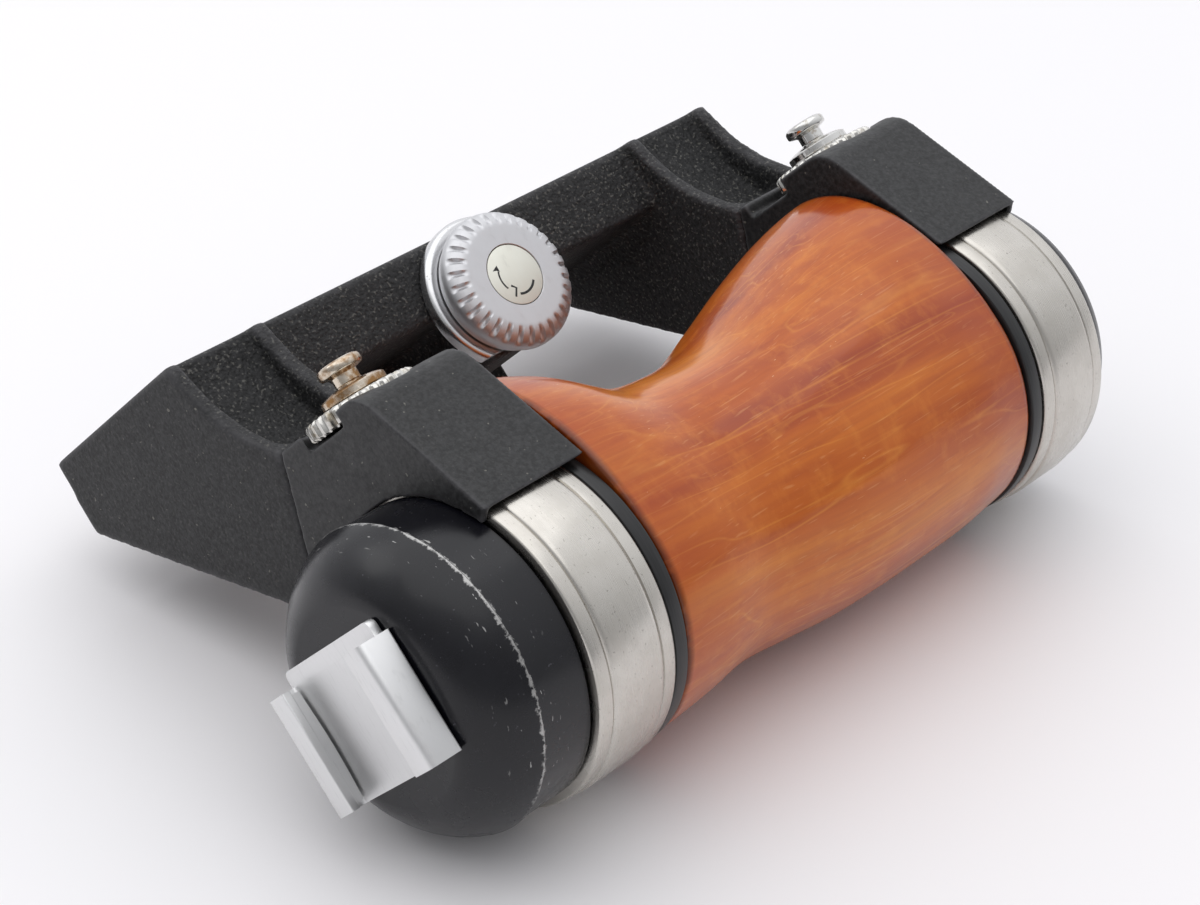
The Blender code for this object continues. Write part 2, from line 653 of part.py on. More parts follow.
def make_thumbscrew(word, side):
    """A strap-lug post on a threaded shank, its knurled wheel and the brass tip that grips the band."""
    at = (side * SCREW_X, 0, SCREW_Z)
    wheel_low = WHEEL_FLOOR + GAP
    wheel_high = wheel_low + WHEEL_HEIGHT
    post = wheel_high + GAP
    outline = [
        (0, post + 4.7), (2.3, post + 4.7), (2.9, post + 4.2), (2.9, post + 3.3), (1.7, post + 2.9),
        (1.7, post + 1.6), (3.6, post + 1.2), (4.35, post + 0.9), (4.35, post), (2.2, post),
        (2.2, 24.0), (1.1, 24.0), (1.1, 28.2), (0, 28.2),
    ]
    turned(f"{word}_lug_post", outline, at, "Y", "satin_chrome", 32)
    rim = [
        (2.5, wheel_high), (WHEEL_RADIUS - 0.3, wheel_high), (WHEEL_RADIUS, wheel_high - 0.3),
        (WHEEL_RADIUS, wheel_low + 0.3), (WHEEL_RADIUS - 0.3, wheel_low), (2.5, wheel_low),
    ]
    turned(f"{word}_thumb_wheel", rim, at, "Y", "satin_chrome", 48)
    tip = [(0, 26.6), (0.8, 26.6), (0.8, 22.7), (2.3, 22.7), (2.3, 21.4), (0, 21.4)]
    turned(f"{word}_lock_tip", tip, at, "Y", "brass", 24)


def rest_on_floor():
    """Moves the frame so that the lowest point is at Z = 0 and the box is centred over the origin."""
    bpy.context.view_layer.update()
    graph = bpy.context.evaluated_depsgraph_get()
    low = Vector((math.inf,) * 3)
    high = Vector((-math.inf,) * 3)
    for thing in parts.objects:
        if thing.type != "MESH":
            continue
        solid = thing.evaluated_get(graph)
        for corner in solid.bound_box:
            pass
        for vertex in solid.data.vertices:
            point = solid.matrix_world @ vertex.co
            low = Vector(map(min, low, point))
            high = Vector(map(max, high, point))
    frame.location = (-(low.x + high.x) / 2, -(low.y + high.y) / 2, -low.z)


carve_wood()
for word, side in (("upper", -1), ("lower", 1)):
    make_band(f"{word}_band", side)
    make_ring(f"{word}_ring", side)
    make_plug(f"{word}_plug", side)
    make_saddle(f"{word}_saddle", side)
    make_saddle_screws(word, side)
    make_thumbscrew(word, side)
    make_pad(f"{word}_camera_pad", side)
make_top_cap()
make_bottom_cap()
make_tie_rod()
make_shoe()
make_shoe_spring()
make_shoe_screws()
make_bracket()
make_cover()
make_clamp_bar()
make_clamp_nut()
make_knob()
rest_on_floor()
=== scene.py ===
"""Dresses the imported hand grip: varnished wood, steel bands, crinkle-painted casting and bright screws."""
import json
import math

import bmesh
import bpy
from mathutils import Matrix, Vector


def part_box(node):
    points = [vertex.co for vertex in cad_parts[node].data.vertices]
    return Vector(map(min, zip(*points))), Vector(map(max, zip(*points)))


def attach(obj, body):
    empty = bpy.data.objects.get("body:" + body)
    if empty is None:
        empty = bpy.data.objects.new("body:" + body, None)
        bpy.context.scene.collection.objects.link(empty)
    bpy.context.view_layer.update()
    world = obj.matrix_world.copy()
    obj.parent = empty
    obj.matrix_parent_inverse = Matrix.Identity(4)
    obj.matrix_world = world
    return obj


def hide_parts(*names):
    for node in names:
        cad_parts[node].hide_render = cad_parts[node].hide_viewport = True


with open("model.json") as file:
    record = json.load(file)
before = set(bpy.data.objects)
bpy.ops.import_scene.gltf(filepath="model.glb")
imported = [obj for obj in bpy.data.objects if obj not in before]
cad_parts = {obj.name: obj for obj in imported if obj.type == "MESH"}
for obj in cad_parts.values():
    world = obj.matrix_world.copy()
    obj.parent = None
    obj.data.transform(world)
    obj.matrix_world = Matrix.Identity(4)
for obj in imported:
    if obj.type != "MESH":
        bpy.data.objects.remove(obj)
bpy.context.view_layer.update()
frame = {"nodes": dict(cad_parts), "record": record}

MM = 0.001
GAP = 0.3

# ---------------------------------------------------------------- the grip's own frame

joints = {joint["name"]: joint for joint in frame["record"]["behaviour"]["joints"]}
axis_x = Vector((1, 0, 0))
axis_y = Vector(joints["upper_tip_slide"]["axis"])
axis_z = Vector(joints["clamp_slide"]["axis"])
LIE = math.atan2(axis_y.z, axis_z.z)


def middle(node):
    low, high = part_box(node)
    return (Vector(low) + Vector(high)) / 2


origin = (middle("upper_band") + middle("lower_band")) / 2
GRIP = Matrix((
    (axis_x.x, axis_y.x, axis_z.x, origin.x),
    (axis_x.y, axis_y.y, axis_z.y, origin.y),
    (axis_x.z, axis_y.z, axis_z.z, origin.z),
    (0, 0, 0, 1),
))

# sizes in millimetres in that frame, as the CAD has them
HALF_SPAN = 50.0
BAND_START = 37.0
BAND_LENGTH = 13.0
BAND_RADIUS = 21.0
BORE_RADIUS = 18.2
WOOD_END = 34.2
WOOD_SIDE = (20.2, 19.8, 19.0, 19.7, 20.6, 20.9, 20.9, 20.8, 20.1)
WOOD_CREST = (28.0, 25.2, 19.4, 17.6, 17.8, 20.5, 23.5, 25.9, 27.3)
CAP_FLAT = 65.4
CREASE = 58.3
ARM_OUTER = 51.0
ARM_INNER = 34.5
WALL = 2.4
TOP_Y = 48.7
FRONT_Z = -24.2
REAR_Z = -57.5
BEAM_Y = 38.9
SHELF_Y = 31.7
KNOB_Y = 38.55
SCREW_X = 44.0
SCREW_Z = -1.0
WHEEL_FLOOR = 29.5

# ---------------------------------------------------------------- materials


def linear(code):
    """An sRGB hex colour as linear RGBA."""
    values = []
    for i in (0, 2, 4):
        v = int(code[i:i + 2], 16) / 255
        values.append(v / 12.92 if v <= 0.04045 else ((v + 0.055) / 1.055) ** 2.4)
    return (*values, 1.0)


def add(tree, kind, settings=(), **inputs):
    """One node with its settings, its values, and its links from other nodes' sockets."""
    node = tree.nodes.new(kind)
    for name, value in dict(settings).items():
        setattr(node, name, value)
    for name, value in inputs.items():
        numbered = name[0] == "i" and name[1:].isdigit()
        socket = node.inputs[int(name[1:]) if numbered else name.replace("_", " ")]
        if isinstance(value, bpy.types.NodeSocket):
            tree.links.new(value, socket)
        else:
            socket.default_value = value
    return node


def start(name, **values):
    """A new Principled material: its tree, shader and the grip's coordinates in millimetres."""
    material = bpy.data.materials.new(name)
    material.use_nodes = True
    tree = material.node_tree
    shader = tree.nodes["Principled BSDF"]
    for key, value in values.items():
        shader.inputs[key.replace("_", " ")].default_value = value
    coordinates = tree.nodes.new("ShaderNodeTexCoord").outputs["Object"]
    turn = Matrix.Rotation(-LIE, 3, "X")
    place = add(tree, "ShaderNodeMapping", {"vector_type": "POINT"}, Vector=coordinates,
                Location=tuple(-(turn @ origin) * 1000), Rotation=(-LIE, 0, 0), Scale=(1000, 1000, 1000))
    return material, tree, shader, place.outputs[0]


def scaled(tree, vector, x, y, z, turn=(0, 0, 0)):
    return add(tree, "ShaderNodeMapping", Vector=vector, Scale=(x, y, z), Rotation=turn).outputs[0]


def noisy(tree, vector, scale, detail=3.0, rough=0.5):
    return add(tree, "ShaderNodeTexNoise", Vector=vector, Scale=scale, Detail=detail,
               Roughness=rough).outputs[0]


def remap(tree, value, low, high, to_low=0.0, to_high=1.0):
    return add(tree, "ShaderNodeMapRange", {"clamp": True}, i0=value, i1=low, i2=high, i3=to_low,
               i4=to_high).outputs[0]


def figure(tree, operation, a, b=0.0):
    return add(tree, "ShaderNodeMath", {"operation": operation}, i0=a, i1=b).outputs[0]


def blend(tree, amount, a, b):
    return add(tree, "ShaderNodeMix", {"data_type": "RGBA"}, i0=amount, i6=a, i7=b).outputs[2]


def ramp(tree, value, stops):
    node = add(tree, "ShaderNodeValToRGB", i0=value)
    while len(node.color_ramp.elements) < len(stops):
        node.color_ramp.elements.new(0.5)
    for element, (place, code) in zip(node.color_ramp.elements, stops):
        element.position = place
        element.color = linear(code)
    return node.outputs[0]


def bump(tree, shader, height, depth_mm, strength=1.0, under=None):
    """A bump of a real depth; under is the normal of a coarser bump below it."""
    node = add(tree, "ShaderNodeBump", Height=height, Strength=strength, Distance=depth_mm * MM)
    if under:
        tree.links.new(under, node.inputs["Normal"])
    tree.links.new(node.outputs[0], shader.inputs["Normal"])
    return node.outputs[0]


def split(tree, vector):
    return add(tree, "ShaderNodeSeparateXYZ", Vector=vector).outputs


def paint(tree, shader, colour):
    tree.links.new(colour, shader.inputs["Base Color"])


def varnished_teak():
    """Tropical hardwood under gloss varnish: long golden lines on orange brown, darker and redder towards the
    ends.

    The varnish is the coat, which gives the wet reflections; the wood under it hardly shines."""
    material, tree, shader, p = start(
        "varnished_teak", Roughness=0.45, Coat_Weight=0.75, Coat_Roughness=0.14, IOR=1.5,
        Specular_IOR_Level=0.1)
    # the board was cut a little off the grain, and the grain sways by up to 3.5 mm along it
    tilted = scaled(tree, p, 1, 1, 1, (0, 0.02, 0.05))
    sway = noisy(tree, scaled(tree, p, 0.02, 0.01, 0.01), 1.0, 0.0)
    sideways = figure(tree, "MULTIPLY", figure(tree, "SUBTRACT", sway, 0.5), 7.0)
    shift = add(tree, "ShaderNodeCombineXYZ", i0=0.0, i1=sideways, i2=sideways).outputs[0]
    bent = add(tree, "ShaderNodeVectorMath", {"operation": "ADD"}, i0=tilted, i1=shift).outputs[0]
    # growth bands about 9 mm wide, with streaks of about 1 mm in them
    broad = noisy(tree, scaled(tree, bent, 0.008, 0.11, 0.11), 1.0, 3.0, 0.6)
    colour = ramp(tree, broad, [(0.36, "9C3C05"), (0.47, "B6560C"), (0.57, "C46610"), (0.68, "CE7618")])
    streaks = noisy(tree, scaled(tree, bent, 0.03, 1.1, 1.1), 1.0, 4.0, 0.65)
    colour = blend(tree, remap(tree, streaks, 0.42, 0.7, 0.0, 0.35), colour, linear("963A08"))

    # golden lines 3 to 5 mm apart, drawn as thin contours of a field that is long along the grain
    def threads(scale, width, strength, seed):
        field = noisy(tree, scaled(tree, bent, 0.003, scale, scale, (seed, 0, 0)), 1.0, 1.0, 0.4)
        off = figure(tree, "ABSOLUTE", figure(tree, "SUBTRACT", field, 0.5))
        return remap(tree, off, 0.0, width, strength, 0.0)

    gold = figure(tree, "MAXIMUM", threads(0.2, 0.011, 0.42, 0.4), threads(0.34, 0.012, 0.28, 1.3))
    broken = noisy(tree, scaled(tree, p, 0.12, 0.8, 0.8), 1.0, 3.0)
    gold = figure(tree, "MULTIPLY", gold, remap(tree, broken, 0.3, 0.6, 0.35, 1.0))
    colour = blend(tree, gold, colour, linear("DE9034"))
    # flecks across the grain, and open pores about 0.3 mm wide, drawn coarser than real ones so they show
    rays = noisy(tree, scaled(tree, p, 0.3, 0.16, 0.5, (0.3, 0.2, 0.5)), 1.0, 4.0, 0.65)
    colour = blend(tree, remap(tree, rays, 0.5, 0.7, 0.0, 0.3), colour, linear("DB842C"))
    pores = noisy(tree, scaled(tree, p, 0.14, 3.0, 3.0, (0, 0.03, 0.06)), 1.0, 1.0, 0.4)
    pore_mask = remap(tree, pores, 0.66, 0.74, 0.0, 0.25)
    colour = blend(tree, pore_mask, colour, linear("E0A364"))
    x = figure(tree, "ABSOLUTE", split(tree, p)[0])
    colour = blend(tree, remap(tree, x, 20.0, 34.2, 0.0, 0.45), colour, linear("9C3402"))
    # painted shadow: a ragged dark line at the very ends of the wood, in the crease where it meets the black
    # rings
    ragged = noisy(tree, p, 0.35, 3.0)
    rim = figure(tree, "MULTIPLY", remap(tree, x, 33.0, 34.0, 0.0, 0.8), remap(tree, ragged, 0.2, 0.5))
    colour = blend(tree, rim, colour, linear("4A1A06"))
    # small knocks show as pale short marks in the varnish
    knock = noisy(tree, scaled(tree, p, 0.3, 1.1, 0.9, (0.4, 0.3, 0.9)), 1.6, 2.0, 0.7)
    knock_mask = remap(tree, knock, 0.76, 0.78, 0.0, 0.7)
    colour = blend(tree, knock_mask, colour, linear("E9C08E"))
    paint(tree, shader, colour)
    smear = noisy(tree, p, 0.12, 3.0)
    tree.links.new(remap(tree, smear, 0.3, 0.7, 0.34, 0.48), shader.inputs["Roughness"])
    ripple = noisy(tree, scaled(tree, p, 0.06, 0.3, 0.3), 1.0, 2.0)
    dents = figure(tree, "ADD", figure(tree, "MULTIPLY", pore_mask, 0.3), knock_mask)
    height = figure(tree, "SUBTRACT", figure(tree, "MULTIPLY", streaks, 0.2), dents)
    coarse = bump(tree, shader, ripple, 0.25, 0.35)
    bump(tree, shader, height, 0.02, 0.5, coarse)
    tree.links.new(coarse, shader.inputs["Coat Normal"])
    return material


def turned_metal(name, code, rough, lines=9.0, stain=None, axis="X", depth=0.006, rough_spread=0.1):
    """Metal turned on a lathe: fine tool lines round the piece draw its highlights out, and handling
    has left a cloudy gloss with small dark specks. The lines are drawn coarser than real ones."""
    material, tree, shader, p = start(name, Metallic=1.0, Roughness=rough)
    scale = {"X": (lines, 0.08, 0.08), "Y": (0.08, lines, 0.08), "Z": (0.08, 0.08, lines)}[axis]
    tool = noisy(tree, scaled(tree, p, *scale), 1.0, 2.0, 0.6)
    cloud = noisy(tree, p, 0.22, 4.0, 0.6)
    colour = blend(tree, remap(tree, cloud, 0.35, 0.7, 0.0, 0.35), linear(code), linear(stain or "8F8A82"))
    specks = noisy(tree, p, 3.2, 1.0, 0.5)
    colour = blend(tree, remap(tree, specks, 0.7, 0.75, 0.0, 0.45), colour, linear("5B554C"))
    paint(tree, shader, colour)
    both = figure(tree, "ADD", figure(tree, "MULTIPLY", tool, 0.5), figure(tree, "MULTIPLY", cloud, 0.5))
    gloss = remap(tree, both, 0.3, 0.7, rough - rough_spread, rough + rough_spread)
    tree.links.new(gloss, shader.inputs["Roughness"])
    bump(tree, shader, tool, depth, 0.6)
    return material


def tarnished(name, code, stain, amount):
    """Plated brass: sharp bright reflections, with duller brown tarnish where the plate has worn through."""
    material, tree, shader, p = start(name, Metallic=1.0, Roughness=0.16)
    cloud = noisy(tree, p, 0.5, 4.0, 0.65)
    mask = remap(tree, cloud, 0.6 - amount * 0.45, 0.8 - amount * 0.45)
    paint(tree, shader, blend(tree, mask, linear(code), linear(stain)))
    tree.links.new(remap(tree, mask, 0.0, 1.0, 0.14, 0.36), shader.inputs["Roughness"])
    bump(tree, shader, noisy(tree, p, 2.4, 3.0), 0.02, 0.4)
    return material


def anodised_black():
    """Black anodised aluminium: an even blue-black sheen with pale dust specks, and bare metal that
    glints along the knocked crease."""
    material, tree, shader, p = start("anodised_black", Roughness=0.32, IOR=1.45)
    x, y, z = split(tree, p)[:3]
    speck = noisy(tree, p, 2.6, 2.0, 0.5)
    colour = blend(tree, remap(tree, speck, 0.71, 0.76, 0.0, 0.5), linear("0A0A10"), linear("5A5A60"))
    cloud = noisy(tree, p, 0.2, 4.0, 0.6)
    colour = blend(tree, remap(tree, cloud, 0.45, 0.75, 0.0, 0.25), colour, linear("16161F"))
    # the crease is rubbed through on the side away from the bracket
    off = figure(tree, "ABSOLUTE", figure(tree, "ADD", x, CREASE))
    ragged = noisy(tree, p, 0.9, 4.0, 0.7)
    width = remap(tree, ragged, 0.35, 0.75, 0.0, 0.75)
    line = remap(tree, figure(tree, "SUBTRACT", width, off), -0.05, 0.2)
    side = remap(tree, figure(tree, "ADD", z, figure(tree, "MULTIPLY", y, 0.35)), -4.0, 6.0)
    worn = figure(tree, "MULTIPLY", line, side)
    scratches = noisy(tree, scaled(tree, p, 1.4, 0.35, 0.35, (0.2, 0.5, 0.1)), 1.6, 2.0, 0.6)
    near = remap(tree, off, 5.0, 0.5)
    marks = figure(tree, "MULTIPLY", figure(tree, "MULTIPLY", remap(tree, scratches, 0.69, 0.72), near), side)
    bare = figure(tree, "MAXIMUM", worn, marks)
    colour = blend(tree, figure(tree, "MULTIPLY", bare, 0.85), colour, linear("B5B4B2"))
    paint(tree, shader, colour)
    tree.links.new(figure(tree, "MULTIPLY", bare, 0.7), shader.inputs["Metallic"])
    tree.links.new(remap(tree, cloud, 0.3, 0.7, 0.2, 0.32), shader.inputs["Roughness"])
    height = figure(tree, "SUBTRACT", figure(tree, "MULTIPLY", noisy(tree, p, 4.0, 2.0), 0.25), bare)
    bump(tree, shader, height, 0.02, 0.5)
    return material


def crinkle_paint(name, grit, grain, smooth_sides):
    """Black crinkle paint on a light-alloy casting: a gritty skin whose grains carry painted glints.
    It is greyer on convex edges, partly as paint wear and partly as painted highlight, and smooth_sides rubs
    it flatter on the two outer faces."""
    material, tree, shader, p = start(name, Roughness=0.6, IOR=1.45)
    x = split(tree, p)[0]
    outer = remap(tree, figure(tree, "ABSOLUTE", x), 50.2, 50.7) if smooth_sides else 0.0
    cells = add(tree, "ShaderNodeTexVoronoi", {"feature": "SMOOTH_F1"}, Vector=p, Scale=1.0 / grain,
                Smoothness=0.6).outputs[0]
    grains = noisy(tree, p, 0.8 / grain, 4.0, 0.65)
    crust = figure(tree, "ADD", figure(tree, "MULTIPLY", cells, 0.6), grains)
    # convex edges are painted greyer: partly paint wear, partly a painted highlight along the edges
    edge_wear_and_highlight = add(tree, "ShaderNodeAttribute", {"attribute_name": "worn_and_lit_edge"}).outputs["Fac"]
    scuffs = noisy(tree, p, 0.35, 4.0, 0.65)
    edge = figure(tree, "MULTIPLY", edge_wear_and_highlight, remap(tree, scuffs, 0.3, 0.65, 0.25, 1.0))
    colour = blend(tree, remap(tree, grains, 0.4, 0.62, 0.0, 1.0), linear("070708"), linear("262627"))
    # painted glints: pale specks in the base colour stand in for grains catching the light, dimmer on the
    # outer faces
    glints = noisy(tree, p, 1.1 / grain, 1.0, 0.4)
    painted_glints = remap(tree, glints, 0.6, 0.7, 0.0, 1.0)
    dimmed = figure(tree, "SUBTRACT", 0.42, figure(tree, "MULTIPLY", outer, 0.3)) if smooth_sides else 0.06
    painted_glints = figure(tree, "MULTIPLY", painted_glints, dimmed)
    colour = blend(tree, painted_glints, colour, linear("77756F"))
    colour = blend(tree, figure(tree, "MULTIPLY", edge, 0.6), colour, linear("5C5B5E"))
    dust = noisy(tree, p, 1.5, 1.0, 0.3)
    colour = blend(tree, remap(tree, dust, 0.77, 0.79, 0.0, 0.45), colour, linear("8A887E"))
    paint(tree, shader, colour)
    if smooth_sides:
        rough = blend(tree, outer, (0.66, 0.66, 0.66, 1), (0.55, 0.55, 0.55, 1))
        strength = figure(tree, "SUBTRACT", 1.0, figure(tree, "MULTIPLY", outer, 0.72))
    else:
        rough = remap(tree, scuffs, 0.3, 0.7, 0.38, 0.52)
        strength = 1.0
    tree.links.new(rough, shader.inputs["Roughness"])
    bump(tree, shader, figure(tree, "MULTIPLY", crust, strength), grit, 0.9)
    return material


def matt_rubber():
    """Moulded black rubber: no gloss, with a faint grey bloom that greys it in patches."""
    material, tree, shader, p = start("matt_rubber", Roughness=0.75, IOR=1.5)
    bloom = noisy(tree, p, 0.7, 4.0, 0.6)
    paint(tree, shader, blend(tree, remap(tree, bloom, 0.4, 0.7), linear("171717"), linear("2A2A2A")))
    bump(tree, shader, noisy(tree, p, 3.0, 3.0), 0.04, 0.5)
    return material


def hard_black():
    """Black phenolic spacer ring: a dull sheen with fine rubbing lines round it."""
    material, tree, shader, p = start("hard_black", Roughness=0.34, IOR=1.5)
    lines = noisy(tree, scaled(tree, p, 5.0, 0.2, 0.2), 1.0, 2.0)
    paint(tree, shader, blend(tree, remap(tree, lines, 0.4, 0.7), linear("0F0F10"), linear("1F1F20")))
    bump(tree, shader, lines, 0.01, 0.5)
    return material


def satin_plate(name, code, rough):
    """Satin-plated sheet: blasted before plating, so reflections are broad, with fine scuffs along it."""
    material, tree, shader, p = start(name, Metallic=1.0, Roughness=rough)
    blast = noisy(tree, p, 6.0, 2.0, 0.5)
    scuff = noisy(tree, scaled(tree, p, 0.6, 0.25, 2.4, (0.1, 0.2, 0)), 1.5, 3.0, 0.6)
    colour = blend(tree, remap(tree, scuff, 0.58, 0.75, 0.0, 0.12), linear(code), linear("8B8B88"))
    paint(tree, shader, colour)
    tree.links.new(remap(tree, scuff, 0.3, 0.7, rough - 0.03, rough + 0.05), shader.inputs["Roughness"])
    bump(tree, shader, blast, 0.006, 0.5)
    return material


def black_fill():
    """Black paint pressed into the engraved arrow: flat and slightly uneven."""
    material, tree, shader, p = start("black_fill", Roughness=0.5, IOR=1.5)
    tone = noisy(tree, p, 2.0, 2.0)
    paint(tree, shader, blend(tree, remap(tree, tone, 0.3, 0.7), linear("141414"), linear("262626")))
    return material


TEAK = varnished_teak()
BAND_STEEL = turned_metal("turned_band_steel", "CCC8C1", 0.28, 7.0, "AFAAA1", "X", 0.004)
CAP_BLACK = anodised_black()
CASTING = crinkle_paint("crinkle_paint_casting", 0.24, 0.5, True)
SADDLE_PAINT = crinkle_paint("satin_paint_saddle", 0.03, 0.5, False)
RING_BLACK = hard_black()
SHOE_PLATE = satin_plate("satin_plated_sheet", "E2E2E2", 0.42)
KNOB_SATIN = satin_plate("satin_aluminium", "CFCFD1", 0.5)
DISC_SATIN = satin_plate("warm_satin_disc", "E4E4DA", 0.55)
POLISHED = turned_metal("polished_flange", "DADADB", 0.24, 3.0, "BFBFBF", "Z", 0.002, 0.05)
POST_BRIGHT = tarnished("bright_plate", "D6D5D2", "8A7A62", 0.15)
POST_BROWN = tarnished("worn_plate", "D8CDBD", "93704A", 0.42)
WHEEL_BRIGHT = tarnished("wheel_plate", "CFCDC8", "8F8470", 0.2)
STEEL = turned_metal("machined_steel", "A9A8A5", 0.3, 4.0)
BRASS = turned_metal("turned_brass", "C9A45C", 0.28, 4.0, "8F6E34")
ALUMINIUM = turned_metal("turned_aluminium", "B8B8B8", 0.35, 4.0)
RUBBER = matt_rubber()
BLACK_FILL = black_fill()

# ---------------------------------------------------------------- shapes


def finish_piece(name, mesh, body, slot, material, *nodes, sharp=40):
    """A piece drawn in grip millimetres, moved into the CAD's frame and put in place of its nodes."""
    mesh.transform(GRIP @ Matrix.Scale(MM, 4))
    form = bmesh.new()
    form.from_mesh(mesh)
    bmesh.ops.remove_doubles(form, verts=form.verts, dist=0.0000005)
    bmesh.ops.recalc_face_normals(form, faces=form.faces)
    form.to_mesh(mesh)
    form.free()
    mesh.shade_smooth()
    mesh.set_sharp_from_angle(angle=math.radians(sharp))
    mesh.materials.clear()
    mesh.materials.append(material)
    thing = bpy.data.objects.new(name, mesh)
    bpy.context.scene.collection.objects.link(thing)
    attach(thing, body)
    if nodes:
        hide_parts(*nodes)
    return thing


def along(axis, at):
    """A transform that stands a piece's own Z along a grip axis at a point in millimetres."""
    turns = {
        "X": Matrix.Rotation(math.radians(90), 4, "Y"),
        "-X": Matrix.Rotation(math.radians(-90), 4, "Y"),
        "Y": Matrix.Rotation(math.radians(-90), 4, "X"),
        "Z": Matrix.Identity(4),
    }
    return Matrix.Translation(at) @ turns[axis]


def turned(outline, axis, at, steps=160):
    """A turned mesh from (radius, height) pairs; a closed ring unless it starts and ends on the axis."""
    mesh = bpy.data.meshes.new("turned")
    edges = [(i, i + 1) for i in range(len(outline) - 1)]
    if outline[0][0] > 0 or outline[-1][0] > 0:
        edges.append((len(outline) - 1, 0))
    mesh.from_pydata([(r, 0, h) for r, h in outline], edges, [])
    thing = bpy.data.objects.new("turned", mesh)
    bpy.context.scene.collection.objects.link(thing)
    screw = thing.modifiers.new("turn", "SCREW")
    screw.steps = steps
    screw.render_steps = steps
    screw.use_merge_vertices = True
    screw.merge_threshold = 0.0001
    result = evaluated_mesh(thing)
    result.transform(along(axis, at))
    return result


def evaluated_mesh(thing):
    """The thing's finished mesh; the thing itself is removed."""
    bpy.context.view_layer.update()
    mesh = bpy.data.meshes.new_from_object(thing.evaluated_get(bpy.context.evaluated_depsgraph_get()))
    bpy.data.objects.remove(thing, do_unlink=True)
    return mesh


def rounded(points, radius, steps=4):
    """An outline with each corner rounded; a point may carry its own radius as a third value."""
    result = []
    count = len(points)
    for i, point in enumerate(points):
        r = point[2] if len(point) > 2 else radius
        corner = Vector(point[:2])
        before = Vector(points[i - 1][:2]) - corner
        after = Vector(points[(i + 1) % count][:2]) - corner
        if r <= 0:
            result.append(tuple(corner))
            continue
        half = before.angle(after) / 2
        reach = min(r / math.tan(half), before.length * 0.45, after.length * 0.45)
        a = corner + before.normalized() * reach
        b = corner + after.normalized() * reach
        for k in range(steps + 1):
            t = k / steps
            result.append(tuple(a * (1 - t) ** 2 + corner * (2 * t * (1 - t)) + b * t * t))
    return result


def prism(outline, low, high, basis):
    """A flat outline given thickness; basis maps (u, v, height) to grip millimetres."""
    form = bmesh.new()
    face = form.faces.new([form.verts.new(basis(u, v, low)) for u, v in outline])
    grown = bmesh.ops.extrude_face_region(form, geom=[face])
    shift = Vector(basis(0, 0, high)) - Vector(basis(0, 0, low))
    moved = [part for part in grown["geom"] if isinstance(part, bmesh.types.BMVert)]
    bmesh.ops.translate(form, vec=shift, verts=moved)
    bmesh.ops.recalc_face_normals(form, faces=form.faces)
    mesh = bpy.data.meshes.new("prism")
    form.to_mesh(mesh)
    form.free()
    return mesh


def across(u, v, height):
    """An outline in (Z, Y) that is given thickness along X."""
    return (height, v, u)


def block(low, high):
    outline = [(low[2], low[1]), (high[2], low[1]), (high[2], high[1]), (low[2], high[1])]
    return prism(outline, low[0], high[0], across)


def carved(base, changes):
    """A mesh with others joined to it or cut from it, in order."""
    thing = bpy.data.objects.new("carved", base)
    bpy.context.scene.collection.objects.link(thing)
    helpers = []
    for operation, mesh in changes:
        helper = bpy.data.objects.new("helper", mesh)
        bpy.context.scene.collection.objects.link(helper)
        helpers.append(helper)
        change = thing.modifiers.new("change", "BOOLEAN")
        change.operation = operation
        change.object = helper
        change.solver = "EXACT"
    mesh = evaluated_mesh(thing)
    for helper in helpers:
        bpy.data.objects.remove(helper, do_unlink=True)
    return mesh


def cast(mesh, voxel, rounds):
    """Softens a solid's edges and inside corners the way a casting's are, and marks its convex edges for
    paint wear and painted highlight.
    """
    thing = bpy.data.objects.new("cast", mesh)
    bpy.context.scene.collection.objects.link(thing)
    remesh = thing.modifiers.new("skin", "REMESH")
    remesh.mode = "VOXEL"
    remesh.voxel_size = voxel
    smooth = thing.modifiers.new("soft", "SMOOTH")
    smooth.factor = 0.5
    smooth.iterations = rounds
    result = evaluated_mesh(thing)
    mark_edges(result)
    return result


def mark_edges(mesh):
    """Writes how far each point stands out from its neighbours, which is where paint wears and where a
    highlight is painted.
    """
    form = bmesh.new()
    form.from_mesh(mesh)
    form.normal_update()
    out = []
    for vertex in form.verts:
        around = [edge.other_vert(vertex).co for edge in vertex.link_edges]
        centre = sum(around, Vector()) / len(around)
        size = sum(((spot - vertex.co).length for spot in around)) / len(around)
        out.append((vertex.co - centre).dot(vertex.normal) / size)
    for _ in range(3):
        out = [
            (out[v.index] + sum(out[e.other_vert(v).index] for e in v.link_edges)) / (1 + len(v.link_edges))
            for v in form.verts
        ]
    form.free()
    attribute = mesh.attributes.new("worn_and_lit_edge", "FLOAT", "POINT")
    attribute.data.foreach_set("value", [min(1.0, max(0.0, (value - 0.03) / 0.09)) for value in out])


# ---------------------------------------------------------------- handle


def wood_section(x):
    place = (x + WOOD_END) / (2 * WOOD_END) * (len(WOOD_CREST) - 1)
    first = min(int(place), len(WOOD_CREST) - 2)
    t = place - first
    reach = []
    for stations in (WOOD_SIDE, WOOD_CREST):
        p0 = stations[max(first - 1, 0)]
        p1 = stations[first]
        p2 = stations[first + 1]
        p3 = stations[min(first + 2, len(stations) - 1)]
        bend = 2 * p0 - 5 * p1 + 4 * p2 - p3
        twist = 3 * (p1 - p2) + p3 - p0
        reach.append((2 * p1 + (p2 - p0) * t + bend * t * t + twist * t ** 3) / 2)
    return reach


